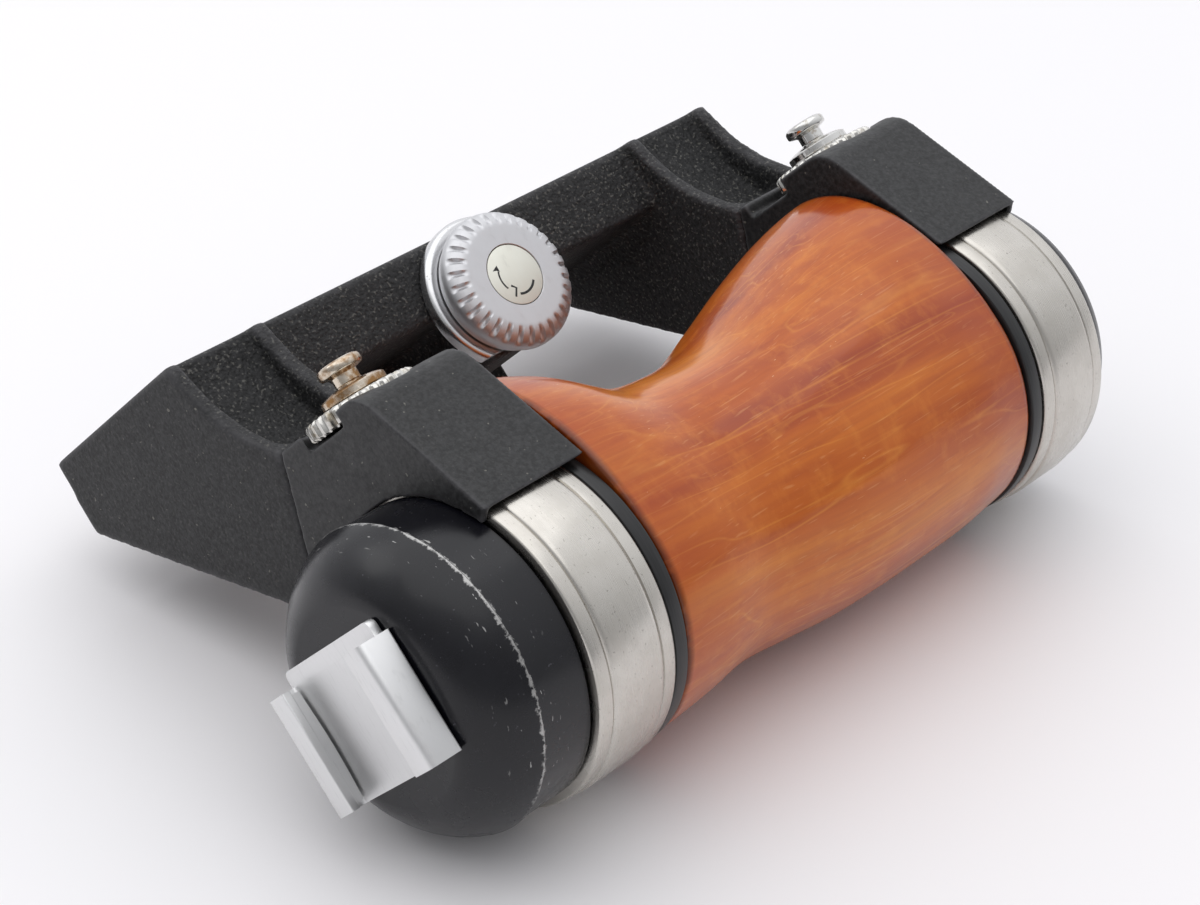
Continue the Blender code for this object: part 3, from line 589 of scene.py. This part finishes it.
def make_wood():
    """The carved handle, with its ends broken by a small worn radius."""
    around = 180
    rows = []
    stations = [(-WOOD_END, 0.5), (-WOOD_END + 0.15, 0.2), (-WOOD_END + 0.5, 0.0)]
    stations += [(-WOOD_END + 0.5 + (2 * WOOD_END - 1.0) * i / 120, 0.0) for i in range(1, 120)]
    stations += [(WOOD_END - 0.5, 0.0), (WOOD_END - 0.15, 0.2), (WOOD_END, 0.5)]
    form = bmesh.new()

    def ring(x, side, crest):
        row = []
        for j in range(around):
            angle = 2 * math.pi * j / around
            up = math.sin(angle)
            row.append(form.verts.new((x, (crest if up > 0 else side) * up, side * math.cos(angle))))
        rows.append(row)

    ring(-46.0, 17.9, 17.9)
    ring(-WOOD_END, 17.9, 17.9)
    for x, drop in stations:
        side, crest = wood_section(x)
        ring(x, side - drop, crest - drop)
    ring(WOOD_END, 17.9, 17.9)
    ring(46.0, 17.9, 17.9)
    ring(46.0, 4.0, 4.0)
    ring(-46.0, 4.0, 4.0)
    for i, one in enumerate(rows):
        two = rows[(i + 1) % len(rows)]
        for j in range(around):
            k = (j + 1) % around
            form.faces.new((one[j], one[k], two[k], two[j]))
    mesh = bpy.data.meshes.new("wood")
    form.to_mesh(mesh)
    form.free()
    finish_piece("carved_handle", mesh, "grip", "wood", TEAK, "handle_wood")


def make_bands(word, side):
    """A band with a proud middle, rounded shoulders and soft rims, and the black ring beside it."""
    axis = "X" if side > 0 else "-X"
    end = BAND_LENGTH
    strip = BAND_RADIUS - 0.3
    groove = strip - 0.18
    outer = [
        (BORE_RADIUS, end), (strip - 0.35, end), (strip - 0.1, end - 0.1), (strip, end - 0.35),
        (strip, end - 2.0),
        (groove, end - 2.12), (groove, end - 2.24), (BAND_RADIUS - 0.22, end - 2.36),
        (BAND_RADIUS - 0.08, end - 2.6), (BAND_RADIUS, end - 3.0), (BAND_RADIUS, 3.0),
        (BAND_RADIUS - 0.08, 2.6), (BAND_RADIUS - 0.22, 2.36), (groove, 2.24), (groove, 2.12), (strip, 2.0),
        (strip, 0.35), (strip - 0.1, 0.1), (strip - 0.35, 0), (BORE_RADIUS, 0),
    ]
    finish_piece(f"{word}_steel_band", turned(outer, axis, (side * BAND_START, 0, 0), 200), "grip", "bands",
                 BAND_STEEL, f"{word}_band", sharp=50)
    ring = [
        (BORE_RADIUS, 2.2), (20.1, 2.2), (20.35, 2.05), (20.4, 1.8), (20.4, 0.4), (20.35, 0.15), (20.1, 0),
        (BORE_RADIUS, 0),
    ]
    finish_piece(f"{word}_spacer_ring", turned(ring, axis, (side * ARM_INNER, 0, 0)), "grip", "rings",
                 RING_BLACK, f"{word}_ring")


def make_caps():
    """The shoe end's cap with its crease and domed shoulder, and the low foot cap."""
    dome = [
        (13.0, 65.4), (14.1, 65.08), (15.1, 64.55), (16.1, 63.85), (17.0, 63.02), (17.9, 62.0), (18.65, 60.9),
        (19.3, 59.6), (19.72, 58.6), (19.8, CREASE),
    ]
    outline = [(0, CAP_FLAT), (12.6, CAP_FLAT)] + dome + [
        (19.78, CREASE - 0.05), (19.62, CREASE - 0.25), (19.6, CREASE - 0.5), (19.6, 50.6), (19.3, 50.3),
        (17.2, 50.3), (17.2, 58.2), (13.0, 62.6), (5.4, 62.6), (5.4, 52.0), (3.3, 52.0), (3.3, 60.4),
        (0, 60.4),
    ]
    cap = turned(outline, "-X", (0, 0, 0), 200)
    finish_piece("creased_cap", cap, "grip", "caps", CAP_BLACK, "top_cap", sharp=30)
    start_x = HALF_SPAN + GAP
    foot = [
        (5.6, start_x + 4.4), (5.8, start_x + 4.6), (15.0, start_x + 4.6), (16.4, start_x + 4.45),
        (17.6, start_x + 3.9), (18.5, start_x + 2.9), (19.0, start_x + 1.7), (19.2, start_x + 0.4),
        (19.0, start_x), (3.3, start_x), (3.3, start_x + 1.6), (5.6, start_x + 1.6),
    ]
    finish_piece("foot_cap", turned(foot, "X", (0, 0, 0)), "grip", "caps", CAP_BLACK, "bottom_cap", sharp=30)


# ---------------------------------------------------------------- accessory shoe


def make_shoe():
    """The folded shoe: sheet bent up into side walls and turned in over the slot."""
    low = CAP_FLAT + GAP
    floor = low + 1.2
    under = floor + 2.1
    top = under + 1.2
    right = [
        (11.5, low, 0.25), (11.0, top, 1.1), (7.35, top, 0.2), (7.35, under, 0.2), (9.35, under, 0.3),
        (9.35, floor, 0.5),
    ]
    left = [(-p[0],) + p[1:] for p in reversed(right)]
    outline = rounded(right + left, 0.2, 5)

    def stand(u, v, height):
        return (-v, height, u)

    body = prism(outline, -8.8, 6.8, stand)
    tongue = prism(rounded([(-10.0, 5.8, 0), (10.0, 5.8, 0), (10.0, 8.8, 1.0), (-10.0, 8.8, 1.0)], 0.5),
                   low, floor, lambda u, v, height: (-height, v, u))
    mesh = carved(body, [("UNION", tongue)])
    thing = bpy.data.objects.new("shoe", mesh)
    bpy.context.scene.collection.objects.link(thing)
    bevel = thing.modifiers.new("bevel", "BEVEL")
    bevel.width = 0.12
    bevel.segments = 2
    bevel.limit_method = "ANGLE"
    bevel.angle_limit = math.radians(50)
    finish_piece("folded_shoe", evaluated_mesh(thing), "grip", "shoe", SHOE_PLATE, "shoe", sharp=35)
    line = [(-8.2 + 14.4 * i / 24, 0.45 * math.sin(math.pi * i / 24)) for i in range(25)]
    ribbon = line + [(y, z + 0.3) for y, z in reversed(line)]
    leaf = prism(ribbon, 0.0, 1.4, lambda u, v, height: (-(floor + GAP + height), u, v - 9.05))
    finish_piece("leaf_spring", leaf, "grip", "shoe", SHOE_PLATE, "shoe_spring")


# ---------------------------------------------------------------- bracket


def span(side, near, far):
    return (near, far) if side > 0 else (-far, -near)


def make_bracket():
    """The casting, softened as it comes from the mould."""
    outline = [
        (REAR_Z + 0.9, TOP_Y), (REAR_Z, 38.1), (-21.6, 12.5), (-17.7, 19.0), (-10.7, SHELF_Y),
        (-11.3, 32.2), (-13.7, 33.8), (-16.9, 37.0), (-19.6, 40.9), (-21.2, 44.6), (-22.5, TOP_Y),
    ]
    base = prism(outline, -ARM_OUTER, ARM_OUTER, across)
    changes = [
        ("DIFFERENCE", block((-ARM_INNER, 0, FRONT_Z), (ARM_INNER, 60, 10))),
        ("DIFFERENCE", block((-ARM_INNER, 0, -70), (ARM_INNER, BEAM_Y, FRONT_Z + 1))),
        ("DIFFERENCE", block((WALL - ARM_OUTER, BEAM_Y + WALL, REAR_Z - 1),
                             (ARM_OUTER - WALL, TOP_Y - WALL, FRONT_Z - WALL))),
    ]
    for side in (-1, 1):
        low, high = span(side, ARM_INNER + WALL, ARM_OUTER - WALL)
        floor = [
            (FRONT_Z, 60), (FRONT_Z + 0.3, 44.5), (-22.4, 38.1), (-20.3, 33.6), (-19.0, 32.0), (0, 32.0),
            (0, 60),
        ]
        changes.append(("DIFFERENCE", prism(floor, low, high, across)))
    changes += [
        ("UNION", block((-18, 27.06, REAR_Z), (18, TOP_Y - 1, -52))),
        ("UNION", block((-9.6, 30.3, REAR_Z + 0.5), (9.6, TOP_Y - 0.8, -45))),
        ("UNION", block((-4.5, 30.3, REAR_Z + 1), (4.5, TOP_Y - 1, FRONT_Z))),
        ("DIFFERENCE", block((-8, 33, REAR_Z - 1), (8, TOP_Y - WALL, -46.8))),
        ("DIFFERENCE", block((-19, 40.7, -54), (19, TOP_Y - WALL, -46.8))),
        ("DIFFERENCE", block((-13.5, 29.7, REAR_Z - 1), (13.5, 45.7, -55.7))),
        ("DIFFERENCE", turned([(0, -24), (2.3, -24), (2.3, -48), (0, -48)], "Z", (0, KNOB_Y, 0), 48)),
    ]
    for side in (-1, 1):
        for x in (39.8, 45.6):
            sink = [
                (0, 0), (1.8, 0), (1.8, FRONT_Z - WALL), (3.0, FRONT_Z - WALL), (3.0, REAR_Z), (0, REAR_Z),
            ]
            changes.append(("DIFFERENCE", turned(sink, "Z", (side * x, 22.0, 0), 48)))
    solid = carved(base, changes)
    finish_piece("cast_bracket", cast(solid, 0.5, 16), "grip", "casting", CASTING, "bracket", sharp=180)


def make_saddle(word, side):
    """The saddle block: crowned long face, rounded corner, bore for the band and pocket for the wheel."""
    corner = [
        (5.4 + 5.0 * math.cos(math.radians(a)), SHELF_Y - 5.0 + 5.0 * math.sin(math.radians(a)))
        for a in (90, 76, 62, 48, 35, 22)
    ]

    def outline(bore):
        inner = []
        for i in range(25):
            angle = math.radians(34.8 + (151.2 - 34.8) * i / 24)
            inner.append((bore * math.cos(angle), bore * math.sin(angle)))
        return [(-21.4, 12.4), (-17.5, 19.0), (-10.5, SHELF_Y)] + corner + [(18.1, 12.6)] + inner

    low, high = span(side, ARM_INNER, ARM_OUTER)
    near, far = span(side, ARM_INNER - 1, SCREW_X)
    lip_low, lip_high = span(side, ARM_OUTER - 0.95, ARM_OUTER)
    pocket = [(0, 40), (8.1, 40), (8.1, WHEEL_FLOOR), (2.7, WHEEL_FLOOR), (2.7, 10), (0, 10)]
    solid = carved(prism(outline(21.4), low, high, across), [
        ("UNION", prism(outline(19.75), lip_low, lip_high, across)),
        ("DIFFERENCE", turned(pocket, "Y", (side * SCREW_X, 0, SCREW_Z), 64)),
        ("DIFFERENCE", block((near, WHEEL_FLOOR + 0.1, -9.2), (far, 40, SCREW_Z))),
    ])
    finish_piece(f"{word}_saddle_block", cast(solid, 0.3, 8), "grip", "saddles", SADDLE_PAINT,
                 f"{word}_saddle", sharp=180)


# ---------------------------------------------------------------- knob and thumbscrews


def repeated_round(section, count, material):
    """Geometry Nodes: one tooth's strip of surface, set round the axis count times and welded into a rim."""
    tree = bpy.data.node_groups.new("set_round", "GeometryNodeTree")
    tree.interface.new_socket("Geometry", in_out="INPUT", socket_type="NodeSocketGeometry")
    teeth = tree.interface.new_socket("Teeth", in_out="INPUT", socket_type="NodeSocketInt")
    tree.interface.new_socket("Geometry", in_out="OUTPUT", socket_type="NodeSocketGeometry")
    group_in = tree.nodes.new("NodeGroupInput")
    points = add(tree, "GeometryNodeMeshLine", Count=group_in.outputs["Teeth"], Offset=(0, 0, 0))
    index = tree.nodes.new("GeometryNodeInputIndex")
    step = add(tree, "ShaderNodeMath", {"operation": "DIVIDE"}, i0=2 * math.pi, i1=group_in.outputs["Teeth"])
    angle = add(tree, "ShaderNodeMath", {"operation": "MULTIPLY"}, i0=index.outputs[0], i1=step.outputs[0])
    turn = add(tree, "ShaderNodeCombineXYZ", Z=angle.outputs[0])
    rotation = add(tree, "FunctionNodeEulerToRotation", i0=turn.outputs[0])
    placed = add(tree, "GeometryNodeInstanceOnPoints", Points=points.outputs[0],
                 Instance=group_in.outputs["Geometry"], Rotation=rotation.outputs[0])
    real = add(tree, "GeometryNodeRealizeInstances", i0=placed.outputs[0])
    weld = add(tree, "GeometryNodeMergeByDistance", i0=real.outputs[0], Distance=0.002)
    painted = add(tree, "GeometryNodeSetMaterial", Geometry=weld.outputs[0], Material=material)
    group_out = tree.nodes.new("NodeGroupOutput")
    tree.links.new(painted.outputs[0], group_out.inputs[0])
    thing = bpy.data.objects.new("rim", section)
    bpy.context.scene.collection.objects.link(thing)
    nodes = thing.modifiers.new("set_round", "NODES")
    nodes.node_group = tree
    nodes[teeth.identifier] = count
    return evaluated_mesh(thing)


def tooth_strip(profile, count, width, steps):
    """One tooth's strip; a row is (radius, height, cut depth, the cut's share outwards, share upwards)."""
    angle_step = 2 * math.pi / count
    points = []
    faces = []
    for radius, height, cut, out, up in profile:
        for j in range(steps + 1):
            t = 2 * j / steps - 1
            dip = max(0.0, cut * (1 - (t / width) ** 2))
            angle = t / 2 * angle_step
            reach = radius - dip * out
            points.append((reach * math.cos(angle), reach * math.sin(angle), height - dip * up))
    for i in range(len(profile) - 1):
        for j in range(steps):
            a = i * (steps + 1) + j
            faces.append((a, a + 1, a + steps + 2, a + steps + 1))
    mesh = bpy.data.meshes.new("tooth")
    mesh.from_pydata(points, [], faces)
    return mesh


def make_knob():
    """The lock knob: a flat ring face, leaf-shaped flutes on its shoulder, a disc with a turning arrow."""
    flange_low = FRONT_Z + GAP
    base = flange_low + 2.0 + GAP
    height = 4.4
    recess = height - 0.9
    rows = [
        (4.34, recess - 0.3, 0, 0, 0), (4.34, height - 0.1, 0, 0, 0), (4.42, height, 0, 0, 0),
        (6.9, height, 0, 0, 0),
    ]
    for i in range(1, 25):
        angle = math.radians(90 * i / 24)
        out, up = math.sin(angle), math.cos(angle)
        t = min(1.0, max(0.0, (out - 0.08) / 0.89))
        cut = 0.55 * math.sin(math.pi * t ** 1.6) ** 0.9
        rows.append((7.0 + 2.7 * out, height - 2.2 + 2.2 * up, cut, out, up))
    rows += [
        (9.7, 1.6, 0, 0, 0), (9.62, 1.35, 0, 0, 0), (9.2, 1.25, 0, 0, 0), (9.1, 0, 0, 0, 0),
        (2.3, 0, 0, 0, 0), (2.3, recess - 0.3, 0, 0, 0), (4.34, recess - 0.3, 0, 0, 0),
    ]
    rim = repeated_round(tooth_strip(rows, 30, 0.5, 20), 30, KNOB_SATIN)
    rim.transform(Matrix.Translation((0, KNOB_Y, base)))
    finish_piece("fluted_knob", rim, "lock_knob", "knob", KNOB_SATIN, "knob", sharp=32)
    top = base + height - 0.05
    seat = base + recess + GAP
    disc = [(0, top), (4.15, top), (4.22, top - 0.03), (4.25, top - 0.1), (4.25, seat), (0, seat)]
    finish_piece("knob_disc_plate", turned(disc, "Z", (0, KNOB_Y, 0), 120), "lock_knob", "knob",
                 DISC_SATIN, "knob_disc")
    flange = [
        (2.3, 2.0), (9.9, 2.0), (10.2, 1.95), (10.45, 1.8), (10.6, 1.6), (10.7, 1.3), (10.7, 0.15),
        (10.55, 0), (2.3, 0),
    ]
    plate = carved(turned(flange, "Z", (0, KNOB_Y, flange_low), 160),
                   [("DIFFERENCE", block((-12, KNOB_Y - 14, FRONT_Z - 1), (12, KNOB_Y - 7.6, FRONT_Z + 4)))])
    finish_piece("flat_sided_flange", plate, "grip", "bright_metal", POLISHED, "knob_flange")
    make_arrow(top)


def stroke(path, width):
    """A flat line of even width along a path, as an outline."""
    left = []
    right = []
    for i, spot in enumerate(path):
        ahead = Vector(path[min(i + 1, len(path) - 1)]) - Vector(path[max(i - 1, 0)])
        side = Vector((-ahead.y, ahead.x)).normalized() * width / 2
        left.append(tuple(Vector(spot) + side))
        right.append(tuple(Vector(spot) - side))
    return left + right[::-1]


def make_arrow(top):
    """A broken turning arrow: two arcs, a head at one end and a small tick between them."""
    def arc(start_angle, end_angle, radius):
        return [
            (radius * math.cos(math.radians(start_angle + (end_angle - start_angle) * i / 14)),
             radius * math.sin(math.radians(start_angle + (end_angle - start_angle) * i / 14)))
            for i in range(15)
        ]

    shapes = [
        stroke(arc(150, 209, 2.6), 0.24), stroke(arc(250, 321, 2.78), 0.34),
        [(-1.99, 2.13), (-3.05, 1.66), (-2.45, 1.55), (-2.05, 1.2)],
        stroke([(-1.62, -1.1), (-1.04, -1.66), (-1.85, -2.71)], 0.3),
    ]
    form = bmesh.new()
    for shape in shapes:
        face = form.faces.new([form.verts.new((x, y + KNOB_Y, top + 0.005)) for x, y in shape])
        grown = bmesh.ops.extrude_face_region(form, geom=[face])
        moved = [part for part in grown["geom"] if isinstance(part, bmesh.types.BMVert)]
        bmesh.ops.translate(form, vec=(0, 0, 0.015), verts=moved)
    mesh = bpy.data.meshes.new("arrow")
    form.to_mesh(mesh)
    form.free()
    finish_piece("turning_arrow", mesh, "lock_knob", "knob", BLACK_FILL)


def make_thumbscrew(word, side, post_material):
    """A mushroom-headed strap post on its knurled thumb wheel."""
    at = (side * SCREW_X, 0, SCREW_Z)
    low = WHEEL_FLOOR + GAP
    high = low + 2.4
    post = high + GAP
    outline = [
        (0, post + 4.62), (1.6, post + 4.68), (2.3, post + 4.62), (2.75, post + 4.4), (2.9, post + 4.1),
        (2.9, post + 3.5), (2.75, post + 3.25), (1.85, post + 3.0), (1.7, post + 2.85), (1.7, post + 1.75),
        (1.85, post + 1.6), (2.5, post + 1.5), (3.4, post + 1.3), (4.1, post + 1.05), (4.35, post + 0.85),
        (4.35, post + 0.1), (4.25, post), (2.2, post), (2.2, 24.0), (1.1, 24.0), (1.1, 28.2), (0, 28.2),
    ]
    finish_piece(f"{word}_strap_post", turned(outline, "Y", at, 96), f"{word}_thumbscrew", "bright_metal",
                 post_material, f"{word}_lug_post", sharp=40)
    rows = [
        (2.5, high, 0, 0, 0), (6.5, high, 0, 0, 0), (6.9, high - 0.03, 0.1, 1, 0.4),
        (7.25, high - 0.25, 0.4, 1, 0), (7.4, high - 0.5, 0.5, 1, 0), (7.4, low + 0.5, 0.5, 1, 0),
        (7.25, low + 0.25, 0.4, 1, 0), (6.9, low + 0.03, 0.1, 1, -0.4), (6.5, low, 0, 0, 0),
        (2.5, low, 0, 0, 0), (2.5, high, 0, 0, 0),
    ]
    rim = repeated_round(tooth_strip(rows, 32, 0.6, 12), 32, WHEEL_BRIGHT)
    rim.transform(along("Y", at))
    finish_piece(f"{word}_knurled_wheel", rim, f"{word}_thumbscrew", "bright_metal", WHEEL_BRIGHT,
                 f"{word}_thumb_wheel", sharp=35)


def dress_plain_nodes():
    """CAD pieces whose shape is already right get the real finish."""
    finishes = {
        STEEL: ["tie_rod", "tie_washer", "tie_nut", "shoe_screw_1", "shoe_screw_2", "upper_saddle_screw_1",
                "upper_saddle_screw_2", "lower_saddle_screw_1", "lower_saddle_screw_2", "cover_screw_1",
                "cover_screw_2", "cover_screw_3", "cover_screw_4", "clamp_bar", "knob_shaft", "shaft_ring"],
        BRASS: ["clamp_nut", "upper_lock_tip", "lower_lock_tip"],
        ALUMINIUM: ["upper_plug", "lower_plug"],
        SADDLE_PAINT: ["clamp_cover"],
        RUBBER: ["upper_camera_pad", "lower_camera_pad"],
    }
    for material, names in finishes.items():
        for name in names:
            for place in frame["nodes"][name].material_slots:
                place.material = material


# ---------------------------------------------------------------- studio

CAMERA_LENS = 89.49
# where the camera stands, in metres from the grip's middle, and the turn that aims it
CAMERA_AT = Vector((-0.25036978, -0.20047324, 0.20103799))
CAMERA_TURN = (
    (0.66783615, 0.39043019, -0.63368695),
    (-0.744308, 0.34951701, -0.56907246),
    (-0.0006987, 0.85170542, 0.52402041),
)
# the room is darker on one side and brightest towards this direction
BRIGHT_WAY = (0.42, 0.36, 0.83)
AIM = Vector((0, 0.01, 0.02))


def make_studio():
    """Camera, pale table and soft light."""
    camera_data = bpy.data.cameras.new("camera")
    camera_data.lens = CAMERA_LENS
    camera_data.sensor_width = 36
    camera_data.clip_start = 0.01
    camera = bpy.data.objects.new("camera", camera_data)
    bpy.context.scene.collection.objects.link(camera)
    camera.matrix_world = Matrix.Translation(CAMERA_AT + origin) @ Matrix(CAMERA_TURN).to_4x4()
    bpy.context.scene.camera = camera

    mesh = bpy.data.meshes.new("table")
    form = bmesh.new()
    bmesh.ops.create_grid(form, x_segments=1, y_segments=1, size=3.0)
    form.to_mesh(mesh)
    form.free()
    table = bpy.data.objects.new("table", mesh)
    bpy.context.scene.collection.objects.link(table)
    white = bpy.data.materials.new("white_table")
    white.use_nodes = True
    shader = white.node_tree.nodes["Principled BSDF"]
    shader.inputs["Base Color"].default_value = linear("F1EFF0")
    shader.inputs["Roughness"].default_value = 0.5
    mesh.materials.append(white)

    world = bpy.data.worlds.new("studio")
    bpy.context.scene.world = world
    world.use_nodes = True
    tree = world.node_tree
    background = tree.nodes["Background"]
    background.inputs["Color"].default_value = (0.96, 0.97, 1.0, 1)
    direction = tree.nodes.new("ShaderNodeTexCoord").outputs["Generated"]
    facing = add(tree, "ShaderNodeVectorMath", {"operation": "DOT_PRODUCT"}, i0=direction, i1=BRIGHT_WAY)
    strength = remap(tree, facing.outputs["Value"], -0.1, 0.75, 0.4, 1.08)
    tree.links.new(strength, background.inputs["Strength"])

    def softbox(name, at, size, power):
        light = bpy.data.lights.new(name, "AREA")
        light.shape = "RECTANGLE"
        light.size = size[0]
        light.size_y = size[1]
        light.energy = power
        lamp = bpy.data.objects.new(name, light)
        lamp.location = at
        lamp.rotation_euler = (AIM - Vector(at)).to_track_quat("-Z", "Y").to_euler()
        bpy.context.scene.collection.objects.link(lamp)

    softbox("overhead", (-0.05, 0.1, 0.95), (1.5, 1.3), 3.6)
    softbox("left_window", (-0.3, 0.55, 0.5), (0.4, 0.3), 0.4)
    bpy.context.scene.view_settings.view_transform = "Standard"


make_studio()
make_wood()
for word, side, post in (("upper", -1, POST_BROWN), ("lower", 1, POST_BRIGHT)):
    make_bands(word, side)
    make_saddle(word, side)
    make_thumbscrew(word, side, post)
make_caps()
make_shoe()
make_bracket()
make_knob()
dress_plain_nodes()
